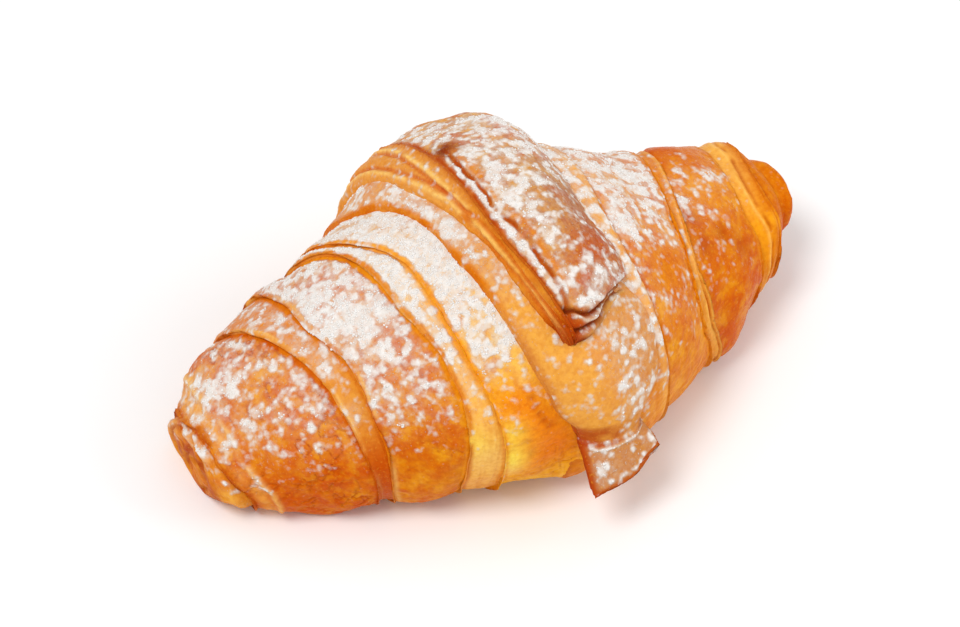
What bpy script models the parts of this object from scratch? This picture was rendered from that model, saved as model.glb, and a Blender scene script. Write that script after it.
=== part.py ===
"""A croissant: one piece of laminated dough, rolled up from a long triangle and baked on a tray.

The roll lies along X, with its near side towards -Y and its flat base on Z = 0. Each turn of the roll ends
in a raised edge, and the turns climb towards the middle. The last two are sheets: a tongue, whose end
hangs off the near side, and over it a flap with a thick cut edge and a blunt end.
"""

import math

import bmesh
import bpy
from mathutils import Vector

# Driving dimensions of the roll, in metres. A share is a place along it, in half lengths
LENGTH = 0.150
FULLEST_RADIUS = 0.0443
BASE_DEPTH_SHARE = 0.70  # how far the base lies under the roll's axis, in radii
CROWN_SHARE = 0.842  # how far the crown stands over the axis, in radii
BASE_SQUARENESS = 3.0  # exponent of the lower half of the section
BASE_FLAT = 0.0016  # how much of the rounded underside the tray has pressed flat
LEFT_BEND = 0.0100  # how far each tip bends away from the near side
RIGHT_BEND = 0.0080
BEND_POWER = 2.2
RIGHT_LIFT = 0.0085  # how far the right tip stands off the tray
LIFT_POWER = 5
NUB_LEAN = 0.0030  # how far the nub on the right tip leans back towards the near side
NUB_LEAN_SHARES = (0.93, 1.02)
PRESSED_SHARE = 0.125  # how far the last two turns press the crown down, in radii
PRESSED_REACH = 0.30  # and over how much of the half length

# The roll's radius at these places, as shares of the fullest radius
RADIUS_PLACES = (-1.0, -0.95, -0.85, -0.7, -0.5, -0.25, 0.0, 0.25, 0.5, 0.7, 0.85, 0.95, 1.03)
RADIUS_SHARES = (0.30, 0.335, 0.42, 0.54, 0.66, 0.85, 0.97, 0.865, 0.65, 0.53, 0.435, 0.40, 0.40)

# How the ends close: the left one rounds off, and the right one narrows to a nub
CLOSING_PLACES = (-1.0, -0.993, -0.975, -0.95, -0.91, 0.90, 0.94, 0.965, 0.98, 1.015, 1.035, 1.045)
CLOSING_SHARES = (0.25, 0.55, 0.80, 0.92, 1.0, 1.0, 0.90, 0.70, 0.56, 0.50, 0.36, 0.14)
LEFT_TIP_LINES = (-1.0, -0.993)
RIGHT_TIP_LINES = (0.95, 0.965, 0.98, 1.015, 1.035, 1.045)

# The turns' edges. Each has its places at the knot angles, which run from the crown towards the near
# side, in degrees, then its height, and the way it looks: -1 for left and 1 for right
KNOT_ANGLES = (-150, -90, 0, 90, 150)
EDGES = (
    ((-0.965, -0.97, -0.97, -0.965, -0.96), 0.0012, -1),
    ((-0.93, -0.935, -0.945, -0.90, -0.885), 0.0020, -1),
    ((-0.84, -0.79, -0.68, -0.60, -0.59), 0.0040, -1),
    ((-0.76, -0.70, -0.61, -0.55, -0.53), 0.0016, -1),
    ((-0.57, -0.54, -0.405, -0.36, -0.35), 0.0040, -1),
    ((-0.47, -0.45, -0.31, -0.285, -0.26), 0.0026, -1),
    ((0.40, 0.37, 0.30, 0.31, 0.30), 0.0022, 1),
    ((0.66, 0.62, 0.52, 0.51, 0.54), 0.0036, 1),
    ((0.73, 0.69, 0.58, 0.60, 0.62), 0.0014, 1),
    ((0.86, 0.85, 0.83, 0.79, 0.76), 0.0030, 1),
    ((0.93, 0.92, 0.90, 0.91, 0.90), 0.0022, 1),
)
EDGE_OVERHANG = 0.22  # how far an edge leans out over the turn below, in edge heights
EDGE_ROUND = 0.0017  # from an edge to where its turn is full
BASE_EDGE_SHARE = 0.15  # what is left of an edge's height on the base
BASE_EDGE_ANGLES = (85, 140)  # where the tray starts to flatten it, and where it is flat
PUFF_SHARE = 0.055  # how far a turn bulges between two edges, in its widths
WAVES = ((3, 11, 0.7, 0.0005), (5, -17, 2.0, 0.0003), (2, 29, 4.0, 0.0003))  # unevenness
COLUMNS = 62
TURN_FRACTIONS = (0.28, 0.62, 0.88)

# The sheets. A profile gives the height over the roll at fractions of the way across
SHEET_ROOT = 0.0035  # how deep a sheet is baked into what it lies on
SHEET_STEPS = 22
TONGUE_ANGLES = (-140, -90, -48, -20, 16, 38, 52, 68, 81, 93)
TONGUE_LEFT = (-0.42, -0.38, -0.31, -0.21, -0.19, -0.18, -0.16, -0.13, -0.10, -0.035)
TONGUE_RIGHT = (0.26, 0.22, 0.17, 0.14, 0.15, 0.20, 0.25, 0.25, 0.24, 0.15)
TONGUE_THICKNESS = 0.0034
TONGUE_PROFILE = (
    (0.0, 0.0028),
    (0.12, 0.0034),
    (0.35, 0.0034),
    (0.6, 0.0032),
    (0.85, 0.0027),
    (1.0, 0.0012),
)
TONGUE_TIP = ((-0.0046, -0.0500, 0.0150), (0.0066, -0.0488, 0.0155), (0.0138, -0.0462, 0.0190))
TONGUE_TIP_PLACES = (0.0, 0.6, 1.0)
TONGUE_BACK = Vector((0.10, 0.85, 0.15))  # the way its thickness goes at the end, back towards the roll
TONGUE_DROPS = (0.25, 0.6, 0.9, 1.0)  # lines of the hanging end, as shares of its length
FLAP_ANGLES = (-120, -90, -54, -32, -8, 16, 33, 44, 53)
FLAP_FOOT = (-0.36, -0.32, -0.25, -0.21, -0.18, -0.155, -0.13, -0.09, -0.045)
FLAP_RIDGE = (-0.24, -0.19, -0.12, -0.11, -0.10, -0.085, -0.06, -0.035, -0.02)
FLAP_RIGHT = (0.36, 0.33, 0.29, 0.26, 0.23, 0.22, 0.24, 0.24, 0.22)
FLAP_END_SLANT = 8.0  # how much further down, in degrees, its end reaches on the left
FLAP_EDGE_PROFILE = ((0.0, 0.0038), (0.35, 0.0062), (0.8, 0.0070), (1.0, 0.0078))
FLAP_TOP_PROFILE = ((0.12, 0.0068), (0.4, 0.0066), (0.7, 0.0058), (0.9, 0.0048), (1.0, 0.0038))

CRUST_COLOUR = (0.72, 0.32, 0.07, 1.0)
CRUST_ROUGHNESS = 0.45


def smooth_curve(places, values, x, period=None):
    """A smooth curve through values at places. With a period, it closes on itself."""
    places, values = list(places), list(values)
    if period:
        places = [places[-1] - period] + places + [places[0] + period, places[1] + period]
        values = [values[-1]] + values + [values[0], values[1]]
    x = min(max(x, places[0]), places[-1])
    i = 0
    while i < len(places) - 2 and x > places[i + 1]:
        i += 1

    def slope(k):
        before, after = max(k - 1, 0), min(k + 1, len(places) - 1)
        return (values[after] - values[before]) / (places[after] - places[before])

    span = places[i + 1] - places[i]
    t = (x - places[i]) / span
    return (
        values[i] * (1 + 2 * t) * (1 - t) ** 2
        + values[i + 1] * t * t * (3 - 2 * t)
        + slope(i) * span * t * (1 - t) ** 2
        - slope(i + 1) * span * t * t * (1 - t)
    )


def ramp(x, low, high):
    """0 below low, 1 above high and smooth between."""
    t = min(max((x - low) / (high - low), 0.0), 1.0)
    return t * t * (3 - 2 * t)


def open_radius(share):
    """The roll's radius before its ends close."""
    return FULLEST_RADIUS * smooth_curve(RADIUS_PLACES, RADIUS_SHARES, share)


def unevenness(share, angle):
    """How far the crust stands in or out there: no two turns of a roll bake alike."""
    turn = math.radians(angle)
    return sum(size * math.sin(n * turn + k * share + phase) for n, k, phase, size in WAVES)


def on_roll(share, angle, lift):
    """The point at a place and an angle, lifted off the roll. Angles are degrees from the crown."""
    turn = math.radians(angle)
    side, rise = math.sin(turn), math.cos(turn)
    pressed = PRESSED_SHARE * math.exp(-((share / PRESSED_REACH) ** 2)) * (1 + rise) / 2
    closing = smooth_curve(CLOSING_PLACES, CLOSING_SHARES, share)
    radius = open_radius(share) * (closing - pressed) + unevenness(share, angle) + lift
    up = CROWN_SHARE * rise
    if rise < 0:
        power = 2 / BASE_SQUARENESS
        side = math.copysign(abs(side) ** power, side)
        up = -BASE_DEPTH_SHARE * abs(rise) ** power
    bend = LEFT_BEND if share < 0 else RIGHT_BEND
    middle = bend * min(abs(share), 1) ** BEND_POWER - NUB_LEAN * ramp(share, *NUB_LEAN_SHARES)
    axis_height = BASE_DEPTH_SHARE * open_radius(share) + RIGHT_LIFT * max(share, 0) ** LIFT_POWER
    height = axis_height + radius * up - BASE_FLAT
    return Vector((share * LENGTH / 2, middle - radius * side, max(height, 0.0)))


def edge_shape(edge, angle):
    """The foot, lip and crest of an edge at this angle, from left to right, as (share, lift) each.

    On the base the tray has pressed the edge flat, so there its three lines only lie side by side.
    """
    places, full_height, way = edge
    standing = 1 - ramp(abs(angle), *BASE_EDGE_ANGLES)
    height = full_height * (BASE_EDGE_SHARE + (1 - BASE_EDGE_SHARE) * standing)
    place = smooth_curve(KNOT_ANGLES, places, angle, 360)
    half = LENGTH / 2
    overhang = EDGE_OVERHANG * height * standing / half
    beside = EDGE_ROUND / 4 * (1 - standing) / half
    foot = (place + way * (beside - 0.3 * overhang), -height / 2)
    lip = (place + way * overhang, 0.0)
    crest = (place - way * EDGE_ROUND / half, height / 2)
    return [foot, lip, crest][::-way]


def turn_between(start, end):
    """A turn's surface between the edges on its left and right. It bulges, as baked dough does."""
    points = []
    for fraction in TURN_FRACTIONS:
        puff = PUFF_SHARE * (end[0] - start[0]) * LENGTH / 2 * 4 * fraction * (1 - fraction)
        lift = start[1] * (1 - fraction) ** 1.5 + end[1] * fraction**1.5
        points.append((start[0] + (end[0] - start[0]) * fraction, lift + puff))
    return points


def roll_column(angle):
    """The roll's surface at one angle, from the left tip to the right one."""
    points = [(place, 0.0) for place in LEFT_TIP_LINES]
    for edge in EDGES:
        shape = edge_shape(edge, angle)
        if edge is not EDGES[0]:
            points += turn_between(points[-1], shape[0])
        points += shape
    points += [(place, 0.0) for place in RIGHT_TIP_LINES]
    return [on_roll(share, angle, lift) for share, lift in points]


def loft(name, outlines):
    """A closed body: the first outline as a face, extruded through the outlines that follow."""
    bm = bmesh.new()
    number = bm.verts.layers.int.new("number")
    verts = [bm.verts.new(point) for point in outlines[0]]
    for i, vert in enumerate(verts):
        vert[number] = i
    first = face = bm.faces.new(verts)
    for outline in outlines[1:]:
        made = bmesh.ops.extrude_face_region(bm, geom=[face])["geom"]
        if face is not first:
            bm.faces.remove(face)
        face = next(item for item in made if isinstance(item, bmesh.types.BMFace))
        for vert in face.verts:
            vert.co = outline[vert[number]]
    bmesh.ops.triangulate(bm, faces=bm.faces)
    bmesh.ops.recalc_face_normals(bm, faces=bm.faces)
    mesh = bpy.data.meshes.new(name)
    bm.to_mesh(mesh)
    bm.free()
    body = bpy.data.objects.new(name, mesh)
    bpy.context.scene.collection.objects.link(body)
    return body


def make_roll():
    columns = [roll_column(-180 + 360 * (i + 0.5) / COLUMNS) for i in range(COLUMNS)]
    return loft("roll", list(zip(*columns)))


def sheet_angles(angles):
    """The angles of a sheet's outlines, from where it starts behind the roll to its end."""
    first, last = angles[0], angles[-1]
    return [first + (last - first) * k / (SHEET_STEPS - 1) for k in range(SHEET_STEPS)]


def sheet_outline(angle, left, right, profile, slant=0.0):
    """A sheet's outline across the roll: its top from left to right, then its root back again."""
    top, root = [], []
    for fraction, height in profile:
        share = left + (right - left) * fraction
        here = angle + slant * (0.5 - fraction)
        top.append(on_roll(share, here, height))
        root.append(on_roll(share, here, -SHEET_ROOT))
    return top + root[::-1]


def tongue_end(fraction):
    """A point of the hanging end's lower edge, from its left corner to its right one."""
    return Vector([smooth_curve(TONGUE_TIP_PLACES, axis, fraction) for axis in zip(*TONGUE_TIP)])


def make_tongue():
    """The tongue follows the roll down its near side, then its end hangs clear of it."""
    outlines = []
    for angle in sheet_angles(TONGUE_ANGLES):
        left = smooth_curve(TONGUE_ANGLES, TONGUE_LEFT, angle)
        right = smooth_curve(TONGUE_ANGLES, TONGUE_RIGHT, angle)
        grown = ramp(angle, TONGUE_ANGLES[0], TONGUE_ANGLES[2])
        profile = [(fraction, grown * height) for fraction, height in TONGUE_PROFILE]
        outlines.append(sheet_outline(angle, left, right, profile))
    crease = outlines[-1][: len(TONGUE_PROFILE)]
    behind = TONGUE_BACK * TONGUE_THICKNESS
    for drop in TONGUE_DROPS:
        top = []
        for start, (fraction, _) in zip(crease, TONGUE_PROFILE):
            top.append(start.lerp(tongue_end(fraction), drop))
        outlines.append(top + [point + behind for point in reversed(top)])
    return loft("tongue", outlines)


def make_flap():
    """The flap lies over the tongue. Its cut edge rises from its foot to a ridge."""
    outlines = []
    for angle in sheet_angles(FLAP_ANGLES):
        foot = smooth_curve(FLAP_ANGLES, FLAP_FOOT, angle)
        ridge = smooth_curve(FLAP_ANGLES, FLAP_RIDGE, angle)
        right = smooth_curve(FLAP_ANGLES, FLAP_RIGHT, angle)
        grown = ramp(angle, FLAP_ANGLES[0], FLAP_ANGLES[2])
        edge = (ridge - foot) / (right - foot)
        profile = [(edge * place, grown * height) for place, height in FLAP_EDGE_PROFILE]
        profile += [(edge + (1 - edge) * place, grown * height) for place, height in FLAP_TOP_PROFILE]
        slant = FLAP_END_SLANT * ramp(angle, 0, FLAP_ANGLES[-1])
        outlines.append(sheet_outline(angle, foot, right, profile, slant))
    return loft("flap", outlines)


def join(name, pieces):
    """One solid out of overlapping pieces."""
    first, *others = pieces
    group = bpy.data.collections.new("joined")
    for piece in others:
        group.objects.link(piece)
    union = first.modifiers.new("union", "BOOLEAN")
    union.operation = "UNION"
    union.operand_type = "COLLECTION"
    union.collection = group
    graph = bpy.context.evaluated_depsgraph_get()
    mesh = bpy.data.meshes.new_from_object(first.evaluated_get(graph))
    for piece in pieces:
        bpy.data.objects.remove(piece)
    bpy.data.collections.remove(group)
    joined = bpy.data.objects.new(name, mesh)
    bpy.context.scene.collection.objects.link(joined)
    return joined


def centre(thing):
    """Puts the middle of its bounding box's base on the origin."""
    bm = bmesh.new()
    bm.from_mesh(thing.data)
    lows = [min(vert.co[axis] for vert in bm.verts) for axis in range(3)]
    highs = [max(vert.co[axis] for vert in bm.verts) for axis in range(3)]
    middle = Vector(((lows[0] + highs[0]) / 2, (lows[1] + highs[1]) / 2, lows[2]))
    bmesh.ops.translate(bm, verts=bm.verts, vec=-middle)
    bm.to_mesh(thing.data)
    bm.free()


def finish_crust(thing):
    crust = bpy.data.materials.new("crust")
    crust.use_nodes = True
    shader = crust.node_tree.nodes["Principled BSDF"]
    shader.inputs["Base Color"].default_value = CRUST_COLOUR
    shader.inputs["Roughness"].default_value = CRUST_ROUGHNESS
    thing.data.materials.clear()
    thing.data.materials.append(crust)


def main():
    for old in list(bpy.data.objects):
        bpy.data.objects.remove(old)
    croissant = join("croissant", [make_roll(), make_tongue(), make_flap()])
    centre(croissant)
    finish_crust(croissant)


if __name__ == "__main__":
    main()
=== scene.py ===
import math

import bmesh
import bpy
import numpy as np
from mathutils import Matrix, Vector
from mathutils.bvhtree import BVHTree


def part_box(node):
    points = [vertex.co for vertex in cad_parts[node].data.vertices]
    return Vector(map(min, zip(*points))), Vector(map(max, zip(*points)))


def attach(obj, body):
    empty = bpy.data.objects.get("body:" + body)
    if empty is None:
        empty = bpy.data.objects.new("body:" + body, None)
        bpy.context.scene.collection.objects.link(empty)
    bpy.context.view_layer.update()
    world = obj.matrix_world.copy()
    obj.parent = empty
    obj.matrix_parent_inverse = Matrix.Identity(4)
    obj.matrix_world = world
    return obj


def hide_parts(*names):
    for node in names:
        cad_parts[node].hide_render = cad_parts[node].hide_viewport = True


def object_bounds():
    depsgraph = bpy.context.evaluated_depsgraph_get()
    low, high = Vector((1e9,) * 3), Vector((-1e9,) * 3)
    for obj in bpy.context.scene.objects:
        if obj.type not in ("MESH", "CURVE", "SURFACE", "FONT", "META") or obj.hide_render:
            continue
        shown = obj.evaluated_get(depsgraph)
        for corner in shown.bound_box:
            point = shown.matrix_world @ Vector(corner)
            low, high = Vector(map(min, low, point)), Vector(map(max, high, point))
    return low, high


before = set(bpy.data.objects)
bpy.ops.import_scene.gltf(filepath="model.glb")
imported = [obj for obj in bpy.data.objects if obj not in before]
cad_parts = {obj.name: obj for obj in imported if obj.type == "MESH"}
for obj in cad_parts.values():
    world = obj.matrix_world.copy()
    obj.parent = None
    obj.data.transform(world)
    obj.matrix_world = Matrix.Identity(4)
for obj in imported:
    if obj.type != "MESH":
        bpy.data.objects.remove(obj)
cad_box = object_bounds()

# The left end. The croissant is a long triangle of laminated dough, rolled up from its short side and baked,
# so it is a fat spindle along X, pressed flat on the tray, with both ends bent away from the near side. This is
# the innermost turn, which comes out of the ball at the left as a small round end.
MM = 0.001
LENGTH = 0.15
HALF = LENGTH / 2  # places along the roll are counted in half lengths
FULLEST_RADIUS = 0.0443
BASE_DEPTH_SHARE = 0.7
CROWN_SHARE = 0.842
BASE_SQUARENESS = 3.0
BASE_FLAT = 0.0016
LEFT_BEND = 0.01
RIGHT_BEND = 0.008
BEND_POWER = 2.2
RIGHT_LIFT = 0.0085
LIFT_POWER = 5
NUB_LEAN = 0.003
NUB_LEAN_SHARES = (0.93, 1.02)
PRESSED_SHARE = 0.125
PRESSED_REACH = 0.3
RADIUS_PLACES = (-1, -0.95, -0.85, -0.7, -0.5, -0.25, 0, 0.25, 0.5, 0.7, 0.85, 0.95, 1.03)
RADIUS_SHARES = (0.3, 0.335, 0.42, 0.54, 0.66, 0.85, 0.97, 0.865, 0.65, 0.53, 0.435, 0.4, 0.4)
CLOSING_PLACES = (-1, -0.993, -0.975, -0.95, -0.91, 0.9, 0.94, 0.965, 0.98, 1.015, 1.035, 1.045)
CLOSING_SHARES = (0.02, 0.64, 0.88, 0.97, 1, 1, 0.9, 0.74, 0.58, 0.48, 0.34, 0.02)
WAVES = ((3, 11, 0.7, 0.0005), (5, -17, 2, 0.0003), (2, 29, 4, 0.0003))
TONGUE_REACH = 0.05  # from the roll's middle to the tongue's tip
# Where the baked roll swells out or sinks in: the place in half lengths, the angle, how far it goes along
# and round, and its height in mm.
SWELLS = (
    (-0.62, -34, 0.25, 34, 2.9), (-0.96, -42, 0.07, 42, -3.2), (-0.97, 60, 0.06, 44, 3.8),
    (-0.94, 112, 0.06, 28, -1.6), (-0.38, 116, 0.26, 20, -1.6), (-0.06, 108, 0.1, 16, -1.2),
    (0.84, 110, 0.14, 28, -1.4), (0.94, 95, 0.05, 45, -1), (0.6, -28, 0.24, 26, 1.6),
    (-0.47, -38, 0.07, 30, 0.9), (-0.29, -48, 0.06, 30, -1), (0.14, -34, 0.12, 26, 1.4),
    (0.27, -42, 0.08, 30, -1.5), (0.36, -52, 0.12, 26, -0.9), (0.985, -38, 0.04, 45, 2.6),
)

low_corner, high_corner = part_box("croissant")
ROLL_MIDDLE = np.array([low_corner.x + HALF, low_corner.y + TONGUE_REACH, 0.0])


def smooth_curve(places, values, x, period=None):
    """A smooth curve through values at places. With a period, it closes on itself."""
    places, values = np.array(places, float), np.array(values, float)
    if period:
        places = np.concatenate([[places[-1] - period], places, [places[0] + period]])
        values = np.concatenate([[values[-1]], values, [values[0]]])
    x = np.clip(x, places[0], places[-1])
    i = np.clip(np.searchsorted(places, x) - 1, 0, len(places) - 2)
    before = np.maximum(np.arange(len(places)) - 1, 0)
    after = np.minimum(np.arange(len(places)) + 1, len(places) - 1)
    slopes = (values[after] - values[before]) / (places[after] - places[before])
    span = places[i + 1] - places[i]
    t = (x - places[i]) / span
    start = values[i] * (1 + 2 * t) + slopes[i] * span * t
    end = values[i + 1] * (3 - 2 * t) - slopes[i + 1] * span * (1 - t)
    return start * (1 - t) ** 2 + end * t**2


def ramp(x, low, high):
    """0 at low, 1 at high and smooth between."""
    t = np.clip((x - low) / (high - low), 0, 1)
    return t * t * (3 - 2 * t)


def bell(x, width):
    """1 where x is 0, and falling off smoothly to both sides over this width."""
    return np.exp(-((x / width) ** 2))


def on_roll(share, angle, lift):
    """Points at places in half lengths and angles in degrees from the crown, lifted off the roll."""
    turn = np.radians(angle)
    side, rise = np.sin(turn), np.cos(turn)
    pressed = PRESSED_SHARE * bell(share, PRESSED_REACH) * (1 + rise) / 2
    open_radius = FULLEST_RADIUS * smooth_curve(RADIUS_PLACES, RADIUS_SHARES, share)
    closing = smooth_curve(CLOSING_PLACES, CLOSING_SHARES, share)
    radius = open_radius * (closing - pressed) + lift
    for n, k, phase, size in WAVES:
        radius = radius + size * np.sin(n * turn + k * share + phase) * ramp(1 - np.abs(share), 0, 0.04)
    for at, way, along, round_it, size in SWELLS:
        apart = (angle - way + 180) % 360 - 180
        near = np.exp(-(((share - at) / along) ** 2) - (apart / round_it) ** 2)
        radius = radius + size * MM * near * closing
    radius = np.maximum(radius, 0)
    power = 2 / BASE_SQUARENESS
    up = np.where(rise < 0, -BASE_DEPTH_SHARE * np.abs(rise) ** power, CROWN_SHARE * rise)
    side = np.where(rise < 0, np.sign(side) * np.abs(side) ** power, side)
    bend = np.where(share < 0, LEFT_BEND, RIGHT_BEND) * np.minimum(np.abs(share), 1) ** BEND_POWER
    middle = bend - NUB_LEAN * ramp(share, *NUB_LEAN_SHARES)
    axis = BASE_DEPTH_SHARE * open_radius + RIGHT_LIFT * np.maximum(share, 0) ** LIFT_POWER
    height = np.maximum(axis + radius * up - BASE_FLAT, 0)
    return np.stack([share * HALF, middle - radius * side, height], -1) + ROLL_MIDDLE


LATTICE_CELLS = 64
LATTICE = np.random.default_rng(11).random((LATTICE_CELLS,) * 3)


def noise(points, size, octaves=2):
    """Soft noise round 0.5, with lumps of this size, a number or one for each axis."""
    total, weight = 0, 0
    for octave in range(octaves):
        scaled = points / size * 2**octave + 17.3 * octave
        corner = np.floor(scaled).astype(int)
        x, y, z = (part * part * (3 - 2 * part) for part in (scaled - corner).T)
        i, j, k = (corner % LATTICE_CELLS).T
        ii, jj, kk = ((corner + 1) % LATTICE_CELLS).T
        levels = []
        for level in (k, kk):
            near = LATTICE[i, j, level] * (1 - x) + LATTICE[ii, j, level] * x
            far = LATTICE[i, jj, level] * (1 - x) + LATTICE[ii, jj, level] * x
            levels.append(near * (1 - y) + far * y)
        total = total + (levels[0] * (1 - z) + levels[1] * z) * 0.5**octave
        weight += 0.5**octave
    return total / weight


def evenly(values):
    """The same ups and downs, spread evenly from 0 to 1."""
    return 1 / (1 + np.exp(-1.7 * (values - values.mean()) / values.std()))


def linear(red, green, blue):
    """A colour as light, from the numbers from 0 to 255 that a picture shows."""
    share = np.array([red, green, blue]) / 255
    return np.where(share <= 0.04045, share / 12.92, ((share + 0.055) / 1.055) ** 2.4)


CRUST = {
    "cream": linear(252, 210, 120),
    "lemon": linear(255, 230, 88),
    "straw": linear(245, 180, 80),
    "butter": linear(246, 180, 30),
    "honey": linear(227, 151, 58),
    "gold": linear(241, 156, 20),
    "amber": linear(224, 132, 18),
    "orange": linear(213, 110, 3),
    "apricot": linear(240, 126, 4),
    "tan": linear(188, 116, 50),
    # A greyish brown used as painted shade on the flap.
    "umber": linear(164, 98, 62),
    "deep": linear(205, 86, 0),
    "burnt": linear(176, 62, 6),
    "chestnut": linear(128, 44, 14),
}
COLOUR_ANGLES = (-180, -130, -80, 0, 45, 84, 112, 180)
# What a piece's look has where it doesn't give its own.
PLAIN = {"layers": 0, "foot_layers": 0, "creases": 0, "leaves": 0.4, "rim": "orange", "groove": "burnt"}


def tint(colour, towards, amount):
    """The colour moved towards another by this amount, point by point."""
    return colour + (CRUST[towards] - colour) * np.clip(amount, 0, 1)[:, None]


def round_roll(values, angle):
    """A value for each angle, from those at the back, crown, front and foot of the near side."""
    back, crown, front, foot = values
    return np.interp(angle, COLOUR_ANGLES, (foot, back, back, crown, front, foot, foot, foot))


def crust_skin(points, angle, from_lip, to_tuck, cut, leaf, look, marks, facing_up):
    """The relief, colour, dust, sugar and gloss of baked dough.

    from_lip and to_tuck are the distances to its raised edge and to where it goes under the next turn; near
    that tuck its colour is tinted as painted shade. Where it is cut, the layers show as leaves, and leaf counts
    them, with painted shade in the gaps between them. Each mark is how far it shows at each point, its height
    in mm, its colour, how strong that is, and its sugar, or None where it leaves the sugar as it is.
    """
    seed = look["seed"]
    bases = [CRUST[name] for name in look["colours"].split()]
    colour = np.stack([round_roll([base[c] for base in bases], angle) for c in range(3)], -1)
    around = np.radians(angle) * np.hypot(points[:, 1] - ROLL_MIDDLE[1], points[:, 2] - 20 * MM)
    along = np.stack([from_lip, around, np.full(len(angle), seed)], -1)
    lumps = noise(points + seed, 13 * MM) - 0.5
    mottle = evenly(noise(points - seed, 6 * MM, 2))
    flecks = evenly(noise(points + 2 * seed, 2.0 * MM, 3))
    crease_field = noise(along, (2.6 * MM, 5 * MM, 1), 3)
    creases = bell(crease_field - 0.5, 0.022) * ramp(noise(points, 7 * MM), 0.4, 0.62)
    blisters = ramp(noise(points + 0.7, 1.9 * MM, 2), 0.45, 0.8)
    layer_field = noise(along, (0.9 * MM, 16 * MM, 1), 2)
    layers = ramp(np.abs(layer_field - 0.5), 0.1, 0)
    by_lip = bell(from_lip, 2.2 * MM)
    layered = np.clip(look["layers"] * (0.25 + by_lip) + look["foot_layers"] * ramp(angle, 58, 88), 0, 1.4)
    layered = layered * (1 - cut)
    groove = np.exp(-np.maximum(to_tuck, 0) / (0.5 * MM))
    wander = noise(along, (1, 9 * MM, 1), 3)
    phase = leaf + 1.6 * (wander - 0.5)
    sheet = np.floor(phase)
    step = phase - sheet
    torn = noise(along + sheet[:, None] * 0.37, (1, 5 * MM, 1), 2)
    # Painted shade in the gaps between the leaves of a cut edge.
    leaf_gap_shade = cut * (bell(step, 0.1) + bell(1 - step, 0.03))
    leaf_gap_shade = leaf_gap_shade * ramp(noise(along + 0.3, (1, 7 * MM, 1), 2), 0.3, 0.6)
    bright = cut * ramp(step, 0.45, 0.95) * ramp(torn, 0.42, 0.66)
    rim = bell(from_lip - 0.8 * MM, 0.5 * MM) * ramp(noise(along, (1, 6 * MM, 1)), 0.3, 0.6)

    deeper = 0.3 * ramp(mottle, 0.5, 1) + 0.4 * ramp(flecks, 0.6, 1)
    paler = 0.2 * ramp(mottle, 0.5, 0) + 0.32 * ramp(flecks, 0.4, 0)
    colour = tint(colour, "deep", deeper * look["mottle"])
    colour = tint(colour, "butter", paler * look["mottle"])
    colour = tint(colour, "burnt", 0.5 * creases * look["creases"] * (1 - cut))
    colour = tint(colour, "butter", 0.25 * blisters * look["mottle"] * (1 - cut))
    colour = tint(colour, "orange", 0.55 * layered * layers)
    colour = tint(colour, "cream", 0.6 * layered * ramp(layer_field, 0.58, 0.78))
    # The rim colour along the raised edge; where it is cream, this is a painted highlight.
    colour = tint(colour, look["rim"], 0.55 * rim)
    shade = (np.sin(sheet * 12.9898 + seed * 7) * 43758.5453) % 1
    colour = tint(colour, "deep", cut * 0.4 * ramp(shade, 0.35, 1))
    colour = tint(colour, "butter", cut * 0.35 * ramp(shade, 0.45, 0))
    colour = tint(colour, "cream", 0.45 * bright)
    # Painted shade in the gaps between the leaves.
    colour = tint(colour, "burnt", 0.45 * leaf_gap_shade)
    # Painted shade where the turn goes under the next one's lip.
    colour = tint(colour, look["groove"], 0.55 * groove)

    wrinkled = look["creases"] * (1 - cut)
    relief = 1.1 * MM * lumps - 0.22 * MM * creases * wrinkled + 0.1 * MM * blisters * wrinkled
    relief = relief + (0.25 * (mottle - 0.5) + 0.22 * (flecks - 0.5)) * MM * look["mottle"]
    relief = relief - 0.14 * MM * layered * layers
    relief = relief + cut * look["leaves"] * MM * (step**1.5 * (0.6 + 0.8 * torn) - 0.5) - 0.35 * MM
    dust = round_roll(look["sugar"], angle) * (1 - 0.8 * groove) * (1 - 0.85 * cut)
    for near, height, name, amount, mark_dust in marks:
        relief = relief + height * MM * near
        colour = tint(colour, name, amount * near)
        if mark_dust is not None:
            dust = dust + (mark_dust - dust) * near
    drifts = evenly(noise(points + 0.9, 5 * MM, 2)) - 0.5
    dust = np.clip(dust * (1 + 0.4 * drifts), 0, 1) * facing_up
    specks = 0.7 * noise(points + 0.5, 1.8 * MM, 1) + 0.3 * noise(points + 0.2, 0.8 * MM, 1)
    specks = (specks - specks.mean()) / specks.std()
    sugar = np.clip(0.5 + 0.16 * (specks - 2.9 * (1 - 2 * dust)), 0, 1) * ramp(dust, 0.02, 0.08)
    relief = relief + 0.14 * MM * ramp(sugar, 0.3, 1)
    return relief, colour, dust, sugar, look["gloss"] * (1 - 0.6 * creases)


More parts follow.
